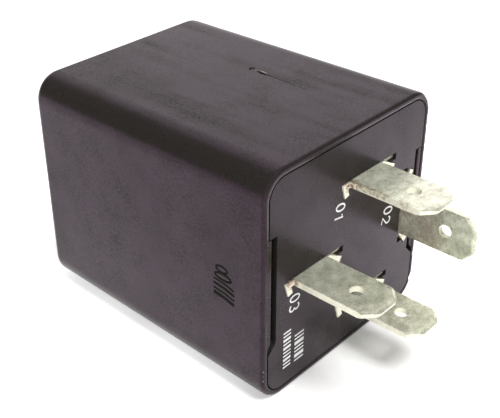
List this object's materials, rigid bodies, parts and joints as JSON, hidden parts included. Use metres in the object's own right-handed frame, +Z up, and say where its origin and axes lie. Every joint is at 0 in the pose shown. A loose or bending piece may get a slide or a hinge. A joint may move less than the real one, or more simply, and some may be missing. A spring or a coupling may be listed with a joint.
{
  "type": "plug-in relay",
  "caption": "Square black plug-in flasher relay: drawn plastic cover over a base plate, with flat push-on blades at one end and an open-frame relay and timing circuit inside.",
  "frame": {"origin": "centre of the base plate's outer face, which is the face that meets the socket", "axes": "+X out of the base plate along the blades, +Z up with the relay lying on its long side and the upright blade on the +Y side, Y across"},
  "size_m": [0.0509, 0.0314, 0.0314],
  "materials": {
    "cover_plastic": "satin black moulded plastic",
    "base_plastic": "satin black moulded plastic",
    "tinned_blade": "tin plating, dull with brighter cut edges",
    "board_laminate": "brown phenolic laminate",
    "solder": "tin-lead solder",
    "plated_steel": "zinc-plated mild steel",
    "bobbin_plastic": "natural white nylon",
    "enamelled_copper": "enamelled copper wire",
    "tinned_wire": "tinned copper wire",
    "spring_bronze": "phosphor bronze strip",
    "contact_silver": "silver alloy contact",
    "spring_wire": "bright spring steel wire",
    "copper_braid": "woven bare copper",
    "strip_brass": "rolled brass strip",
    "chip_epoxy": "black moulding epoxy",
    "capacitor_aluminium": "drawn aluminium",
    "capacitor_sleeve": "dark blue heat-shrunk sleeve",
    "bung_rubber": "black rubber",
    "film_epoxy": "dark red epoxy coat",
    "resistor_lacquer": "beige lacquer with colour bands",
    "diode_epoxy": "black epoxy with a pale band",
    "shunt_alloy": "resistance alloy wire"
  },
  "bodies": {
    "base": {"base_plate": "base_plastic", "blade_ground": "tinned_blade", "blade_output": "tinned_blade", "blade_pilot_lamp": "tinned_blade", "blade_supply": "tinned_blade", "circuit_board": "board_laminate", "solder_joints": "solder", "relay_yoke": "plated_steel", "coil_core": "plated_steel", "coil_bobbin": "bobbin_plastic", "coil_winding": "enamelled_copper", "coil_pins": "tinned_wire", "return_spring": "spring_wire", "contact_braid": "copper_braid", "fixed_contact_post": "strip_brass", "fixed_contact": "contact_silver", "armature_stop": "strip_brass", "flasher_chip": "chip_epoxy", "flasher_chip_pins": "tinned_wire", "capacitor_can": "capacitor_aluminium", "capacitor_foil_roll": "capacitor_aluminium", "capacitor_bung": "bung_rubber", "capacitor_sleeve": "capacitor_sleeve", "capacitor_leads": "tinned_wire", "film_capacitor": "film_epoxy", "film_capacitor_leads": "tinned_wire", "resistors": "resistor_lacquer", "resistor_leads": "tinned_wire", "flyback_diode": "diode_epoxy", "flyback_diode_leads": "tinned_wire", "current_shunt": "shunt_alloy"},
    "cover": {"cover": "cover_plastic"},
    "armature": {"armature": "plated_steel", "contact_leaf": "spring_bronze", "leaf_rivets": "plated_steel", "moving_contact": "contact_silver"}
  },
  "joints": [
    {"name": "cover_pull", "type": "slide", "parent": "base", "child": "cover", "axis": [-1, 0, 0], "range_m": [0, 0.045]},
    {"name": "armature_swing", "type": "hinge", "parent": "base", "child": "armature", "pos_m": [-0.0278, 0, 0.0111], "axis": [0, 1, 0], "range_deg": [-4, 0], "stiffness_Nm_per_rad": 0.02, "springref_deg": 3.44}
  ]
}
